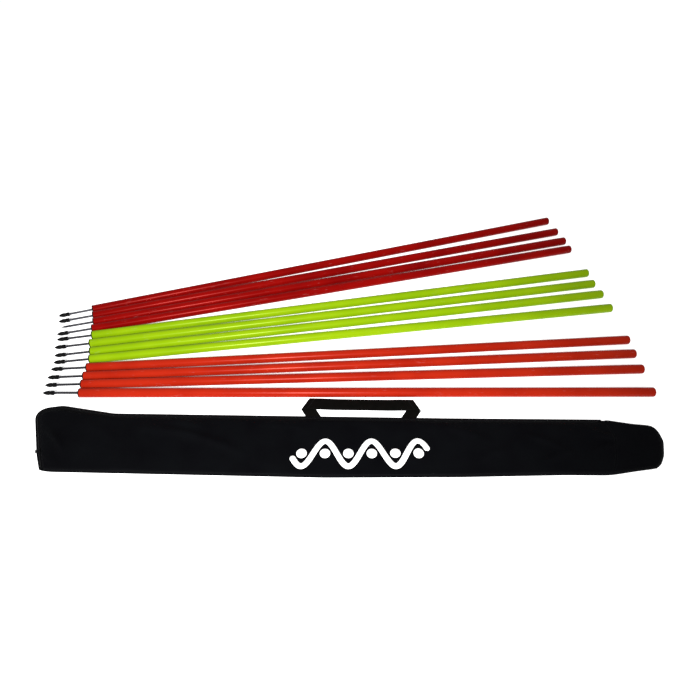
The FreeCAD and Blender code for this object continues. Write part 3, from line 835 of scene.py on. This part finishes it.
def surface_of(*pieces):
    """The finished surface of some pieces, with their modifiers."""
    depsgraph = bpy.context.evaluated_depsgraph_get()
    return surface_tree(piece.evaluated_get(depsgraph).to_mesh() for piece in pieces)


def land(surface, x, y):
    """The highest point of a surface at (x, y), and its normal."""
    hit, normal = surface.ray_cast(Vector((x, y, 0.2)), Vector((0, 0, -1)))[:2]
    if hit is None:
        return None, None
    return hit, normal if normal.z > 0 else -normal


def make_bag():
    under = bag_grid(1.0 * MM)
    under_points = np.concatenate([under, np.zeros(under.shape[:2] + (1,))], axis=2)
    under_points[..., 2] = 0.3 * MM + tail_lift(under[..., 0], under[..., 1])
    back = cloth_piece("bag_back_cloth", under_points,
                       offset=1.0, thickness=0.5 * MM, levels=0)
    finish_piece(back, "bag", "bag_cloth", "bag_back_panel", "bag_end_panel")
    front_points = make_front_cloth()
    seam = int(np.argmin(np.abs(front_points[:, 0, 0] - SEAM_X)))
    away = np.abs(np.arange(LENGTHWISE) - seam)[:, None]
    dip = np.exp(-(away / 1.1) ** 2) * np.ones((1, CROSSWISE))
    dip[:, :2], dip[:, -2:] = 0, 0
    front_points[..., 2] -= 0.6 * MM * dip
    sheets = []
    for name, part, node in (("bag_front_cloth", front_points[:seam + 1], "bag_front_panel"),
                             ("bag_end_cloth", front_points[seam:], "bag_end_panel")):
        sheet = cloth_piece(name, part)
        finish_piece(sheet, "bag", "bag_cloth", node)
        sheets.append(sheet)
    return sheets, seam, front_points


def make_zip_side():
    """The hem round the zipped edges and the zip's tape."""
    top = TAPE_TOP / MM
    roll = [(5.0, 0.95), (2.0, 0.95), (0.7, 1.3), (0.1, 2.3), (0.0, 3.2), (0.3, top - 0.1),
            (1.0, top + 0.4), (1.9, top + 0.45), (2.5, top + 0.2)]
    points = strip(lambda inset: zip_run(inset, past=9 * MM), roll)
    low = 1 - ease(points[..., 2], 1.0 * MM, 3.4 * MM)
    points[..., 2] += low * tail_lift(points[..., 0], points[..., 1])
    hem = cloth_piece("bag_zip_hem", points,
                      thickness=0.45 * MM, offset=0.0)
    finish_piece(hem, "bag", "bag_cloth", "bag_back_panel")
    flat = [(1.4, top - 0.25), (3.0, top - 0.2), (4.2, top - 0.15), (6.0, top - 0.2),
            (7.8, top - 0.15), (9.0, top - 0.2), (11.6, top - 0.25)]
    tape = cloth_piece("bag_zip_tape", strip(zip_run, flat),
                       thickness=0.5 * MM, levels=0, material=ZIP_CLOTH)
    finish_piece(tape, "bag", "zip_cloth", "zip_tape")
    return hem


CAPSULE_SIDES = 6


def capsules(name, stations, radius, material, body, slot, *replaced, squash=0.7):
    """Small rounded rods, one for each (centre, half length vector, up): threads or teeth."""
    profile = [(-1.0, 0.0), (-0.96, 0.45), (-0.8, 0.85), (0.0, 1.0), (0.8, 0.85), (0.96, 0.45),
               (1.0, 0.0)]
    points, faces = [], []
    for centre, half, up in stations:
        side = half.cross(up).normalized()
        rings = []
        for along, width in profile:
            middle = centre + half * along + up * radius * squash * (1 - along ** 2) * 0.4
            sides = CAPSULE_SIDES if width else 1
            rings.append(range(len(points), len(points) + sides))
            for k in range(sides):
                turn = 2 * math.pi * k / CAPSULE_SIDES
                points.append(middle + side * math.cos(turn) * radius * width
                              + up * math.sin(turn) * radius * squash * width)
        faces += ring_faces(rings)
    piece = new_piece(name, points, faces, material, sharp_over=80)
    keep_places(piece, "own_place", points)
    return finish_piece(piece, body, slot, *replaced)


def stitches(line, surface, pitch=4.2 * MM, length=3.1 * MM, sink=0.05 * MM):
    """Threads along a line of (x, y) points laid on a surface."""
    stations = []
    run = evenly(line, step=pitch)
    for here, there in zip(run, run[1:]):
        middle = (here + there) / 2
        way = (there - here) / np.linalg.norm(there - here) * length / 2
        ends = [land(surface, *(middle + way * k))[0] for k in (-1, 1)]
        hit, up = land(surface, *middle)
        if hit is None or None in ends:
            continue
        stations.append(((ends[0] + ends[1]) / 2 - up * sink, (ends[1] - ends[0]) / 2, up))
    return stations


def make_coil():
    """The zip's two rows of teeth, hooked into each other."""
    run = evenly(zip_run(6.0 * MM)[2:], step=1.0 * MM)
    way = np.gradient(run, axis=0)
    way /= np.linalg.norm(way, axis=1)[:, None]
    height = TAPE_TOP + 0.62 * MM
    stations = []
    for number, (place, along) in enumerate(zip(run, way)):
        across = Vector((along[1], -along[0], 0)) * (1 if number % 2 else -1)
        centre = Vector((place[0], place[1], height)) + across * 0.55 * MM
        half = (across + Vector((along[0], along[1], 0)) * 0.22) * 1.4 * MM
        stations.append((centre, half, Vector((0, 0, 1))))
    return capsules("bag_zip_coil", stations, 0.52 * MM, ZIP_NYLON, "bag", "zip_nylon",
                    "zip_coil", squash=1.15)


# -------------------- the handle

STRAP_WIDTH, STRAP_THICK = 32.5, 1.5
GRIP_V, LEG_ANGLE, ROOT_U = 37.75, 58.0, 120.0
LOW_LAYER, HIGH_LAYER = 0.95, 2.75
HINGE_OUT = 1.0              # from the bag's edge to the handle's hinge
TAIL_LENGTH = 45.0
FOLD_U = ROOT_U + GRIP_V / math.tan(math.radians(LEG_ANGLE))
LEG = GRIP_V / math.sin(math.radians(LEG_ANGLE))


def handle_axes():
    """The handle's own axes: X along the bag's edge, Y away from the bag."""
    joint = next(j for j in frame["joints"] if j["name"] == "handle_swing")
    along = Vector(joint["axis"]).normalized()
    away = Vector((0, 0, 1)).cross(along)
    root = Vector(joint["pos_m"]) - away * HINGE_OUT * MM
    root.z = 0
    return axes_from(root, along)


def strap_point(c, t):
    """A point of the strap, in mm: c runs along it from its middle, t across it."""
    side = 1 if c >= 0 else -1
    c = abs(c)
    fold_angle = math.radians(90 + LEG_ANGLE / 2)
    at_fold, at_root = 1 / math.tan(fold_angle), 1 / math.tan(math.radians(LEG_ANGLE))
    lean = at_fold * float(ease(c, 20, FOLD_U - 25))
    lean += (at_root - at_fold) * max(0.0, c - FOLD_U) / LEG
    along = Vector((math.cos(fold_angle), math.sin(fold_angle)))
    out = Vector((math.sin(fold_angle), -math.cos(fold_angle)))
    off = Vector((c + t * lean - FOLD_U, t))
    bend = (HIGH_LAYER - LOW_LAYER) / 2
    half_bend = math.pi * bend / 2
    past = off.dot(out) + half_bend
    if past <= 0:
        flat, z = off.dot(out), HIGH_LAYER
    elif past < 2 * half_bend:
        turn = past / bend
        flat, z = bend * math.sin(turn) - half_bend, LOW_LAYER + bend + bend * math.cos(turn)
    else:
        flat, z = -off.dot(out), LOW_LAYER
    z -= (HIGH_LAYER - LOW_LAYER) * (1 - float(ease(c, FOLD_U - 80, FOLD_U - 34)))
    spot = Vector((FOLD_U, GRIP_V)) + along * off.dot(along) + out * flat
    return Vector((side * spot.x, spot.y, z))


def make_handle():
    """One webbing strap folded flat at its two corners; its ends go under the bag."""
    place = handle_axes()
    half = np.concatenate([np.linspace(0, FOLD_U - 4, 90),
                           np.linspace(FOLD_U - 3.7, FOLD_U + 3.7, 45),
                           np.linspace(FOLD_U + 4, FOLD_U + LEG + 3.5, 22)])
    run = np.concatenate([-half[:0:-1], half])
    across = np.linspace(-STRAP_WIDTH / 2, STRAP_WIDTH / 2, 15)
    local = [strap_point(c, t) for c in run for t in across]
    points = [place @ (p * MM) for p in local]
    faces = grid_faces(len(run), len(across))
    strap = new_piece("handle_strap", points, faces, WEBBING, sharp_over=80)
    keep_places(strap, "cloth_place", [(c * MM, t * MM, 0) for c in run for t in across])
    grid = np.array(points).reshape(len(run), len(across), 3)
    declare(grid, middle=np.median)
    thicken(strap, "webbing thickness", STRAP_THICK * MM, 0.0)
    edges = strap.modifiers.new("round selvedge", "BEVEL")
    edges.width, edges.segments, edges.limit_method = 0.35 * MM, 2, "ANGLE"
    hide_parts("handle_webbing")
    threads = handle_stitches(place)
    for piece in (strap, threads):
        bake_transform(piece)
    for side in (-1, 1):
        make_tail(place, side)


def handle_stitches(place):
    """Two rows of thread along the strap's edges, and a bar tack across each fold."""
    stations = []
    up = (place.to_3x3() @ Vector((0, 0, 1)))
    def thread(first, last):
        centre, half = (first + last) / 2, (last - first) / 2
        lift = Vector((0, 0, STRAP_THICK / 2))
        stations.append((place @ ((centre + lift) * MM), (place.to_3x3() @ half) * MM, up))
    for t in (-STRAP_WIDTH / 2 + 2.6, STRAP_WIDTH / 2 - 2.6):
        for c in np.arange(-FOLD_U + 14, FOLD_U - 14, 4.4):
            thread(strap_point(c, t), strap_point(c + 3.2, t))
    for side in (-1, 1):
        for t in np.arange(-12, 12.1, 1.5):
            c = side * (FOLD_U - 15)
            thread(strap_point(c - 1.6, t), strap_point(c + 1.6, t))
    return capsules("handle_stitching", stations, 0.3 * MM, BLACK_THREAD, None, "webbing")


def make_tail(place, side):
    """A sewn end of the strap, flat on the ground under the bag, with its box stitching."""
    name = "left" if side < 0 else "right"
    rows, columns = 24, 15
    local = [Vector((side * (ROOT_U + t), v, 0.9))
             for v in np.linspace(0.5, -TAIL_LENGTH, rows) for t in np.linspace(-16, 16, columns)]
    points = [place @ (p * MM) for p in local]
    tail = new_piece("handle_sewn_end_" + name, points, grid_faces(rows, columns), WEBBING,
                     sharp_over=80)
    keep_places(tail, "cloth_place", [(p.y * MM, p.x * MM, 0) for p in local])
    declare(np.array(points).reshape(rows, columns, 3))
    thicken(tail, "webbing thickness", STRAP_THICK * MM, 0.0)
    finish_piece(tail, "bag", "webbing", "handle_tail_" + name)
    box = [(-12, -6), (12, -6), (12, -38), (-12, -38), (-12, -6), (12, -38)]
    cross = [(12, -6), (-12, -38)]
    stations = []
    down = -(place.to_3x3() @ Vector((0, 0, 1)))
    for path in (box, cross):
        run = evenly(path, step=3.6)
        for here, there in zip(run, run[1:]):
            first, last = [Vector((side * ROOT_U + p[0], p[1], 0.9 - STRAP_THICK / 2 + 0.12))
                           for p in (here * 0.93 + there * 0.07, here * 0.1 + there * 0.9)]
            stations.append((place @ ((first + last) / 2 * MM),
                             (place.to_3x3() @ (last - first)) / 2 * MM, down))
    capsules("handle_box_stitch_" + name, stations, 0.28 * MM, BLACK_THREAD, "bag", "webbing")


# -------------------- the printed mark

PRINT_MIDDLE = (53.0 * MM, -413.0 * MM)
DOT_COUNT, DOT_PITCH, DOT_RADIUS = 6, 56.0, 12.5
WAVE_HEIGHT, WAVE_STROKE = 33.0, 14.0


def dot(x, y, radius, rings=5, sides=36):
    """A disc as a middle point and rings round it: its points and faces."""
    points = [(x, y)]
    for ring in range(1, rings + 1):
        for k in range(sides):
            turn = 2 * math.pi * k / sides
            points.append((x + radius * ring / rings * math.cos(turn),
                           y + radius * ring / rings * math.sin(turn)))
    numbers = [range(start, start + sides) for start in range(1, len(points), sides)]
    return points, ring_faces([range(1)] + numbers)


def wave():
    """A line of even width that winds between the dots, with round ends."""
    reach = DOT_PITCH * DOT_COUNT / 2
    x = np.linspace(-reach + 4, reach - 4, 400)
    centre = np.stack([x, WAVE_HEIGHT * np.sin(math.pi * x / DOT_PITCH)], axis=1)
    centre = evenly(centre, count=300)
    way = np.gradient(centre, axis=0)
    way /= np.linalg.norm(way, axis=1)[:, None]
    side = np.stack([-way[:, 1], way[:, 0]], axis=1)
    points, columns, total = [], 7, len(centre)
    for i in range(total):
        end = min(i, total - 1 - i) * np.linalg.norm(centre[1] - centre[0])
        width = WAVE_STROKE / 2 * math.sqrt(max(0.02, 1 - max(0, 1 - end / (WAVE_STROKE / 2)) ** 2))
        for t in np.linspace(-1, 1, columns):
            points.append(tuple(centre[i] + side[i] * width * t))
    return points, grid_faces(total, columns)


def make_print(cloth):
    """A generic mark: a winding line that weaves between six dots."""
    surface = surface_of(*cloth)
    shapes = [wave()]
    for k in range(DOT_COUNT):
        x = (k - (DOT_COUNT - 1) / 2) * DOT_PITCH
        shapes.append(dot(x, 0.0, DOT_RADIUS))
    points, faces, places = [], [], []
    for flat, shape_faces in shapes:
        start = len(points)
        for x, y in flat:
            hit, up = land(surface, PRINT_MIDDLE[0] + x * MM, PRINT_MIDDLE[1] + y * MM)
            points.append(hit + up * 0.1 * MM)
            places.append((x * MM, y * MM, 0))
        faces += [tuple(start + i for i in face) for face in shape_faces]
    mark = new_piece("bag_printed_mark", points, faces, PRINT_INK, sharp_over=80)
    keep_places(mark, "cloth_place", places)
    thicken(mark, "ink film", 0.12 * MM, 1.0)
    finish_piece(mark, "bag", "bag_cloth")


# -------------------- putting the bag together

def metal_part(node):
    """A CAD part of the zip that keeps its shape: softened edges and black enamel."""
    part = frame["nodes"][node]
    edges = part.modifiers.new("soft edges", "BEVEL")
    edges.width, edges.segments, edges.limit_method = 0.22 * MM, 3, "ANGLE"
    part.data.materials.clear()
    part.data.materials.append(ZIP_METAL)


sheets, seam, front_points = make_bag()
hem = make_zip_side()
make_coil()
for node in ("zip_slider", "zip_pull"):
    metal_part(node)
top_surface = surface_of(*sheets)
rows = [zip_run(PANEL_INSET + 2.4 * MM), FRONT_EDGE[:-8] + [0, 4.5 * MM]]
seam_line = front_points[seam, 3:-3, :2]
rows += [seam_line + [offset * MM, 0] for offset in (-2.6, 2.6)]
threads = [station for row in rows for station in stitches(row, top_surface)]
capsules("bag_top_stitching", threads, 0.3 * MM, BLACK_THREAD, "bag", "bag_cloth")
capsules("bag_hem_stitching", stitches(rim_inside(1.5 * MM), surface_of(hem)),
         0.27 * MM, BLACK_THREAD, "bag", "bag_cloth")
make_print(sheets)
make_handle()


# -------------------- floor, light and camera

def make_floor():
    s = Shader("pale_floor")
    place = s.add("TexCoord").outputs["Object"]
    s.set(Base_Color=s.mix(s.noise(place, 3, detail=3), (0.93, 0.93, 0.93, 1),
                           (0.96, 0.96, 0.96, 1)), Roughness=0.9, Specular_IOR_Level=0.1,
          Emission_Color=(1, 1, 1, 1), Emission_Strength=0.46)
    half = 9.0
    corners = [(-half, -half, 0), (half, -half, 0), (half, half, 0), (-half, half, 0)]
    floor = new_piece("floor", corners, [(0, 1, 2, 3)], s.material)


def make_key_light():
    """A soft spotlight whose light fades smoothly to the edge of its cone."""
    lamp = bpy.data.lights.new("key", "SPOT")
    lamp.energy, lamp.shadow_soft_size = 640, 0.2
    lamp.spot_size, lamp.spot_blend = math.radians(46), 1.0
    light = bpy.data.objects.new("key", lamp)
    light.location = (-0.3, -2.1, 2.1)
    aim = Vector((-0.14, -0.3, 0)) - light.location
    light.rotation_euler = aim.to_track_quat("-Z", "Y").to_euler()
    bpy.context.scene.collection.objects.link(light)


def make_camera():
    """Above the near side of the bag, looking down across the set."""
    lens = bpy.data.cameras.new("camera")
    lens.lens, lens.sensor_width = 26.8, 36
    lens.clip_start, lens.clip_end = 0.05, 50
    camera = bpy.data.objects.new("camera", lens)
    camera.location = (0.0288, -0.9887, 1.141)
    camera.rotation_euler = (math.radians(90 - 51.82), 0, 0)
    bpy.context.scene.collection.objects.link(camera)
    bpy.context.scene.camera = camera


def make_studio():
    make_floor()
    world = bpy.data.worlds.new("studio")
    world.use_nodes = True
    world.node_tree.nodes["Background"].inputs["Color"].default_value = (1, 1, 1, 1)
    world.node_tree.nodes["Background"].inputs["Strength"].default_value = 0.6
    bpy.context.scene.world = world
    make_key_light()
    bpy.context.scene.view_settings.view_transform = "Standard"


make_studio()
make_camera()
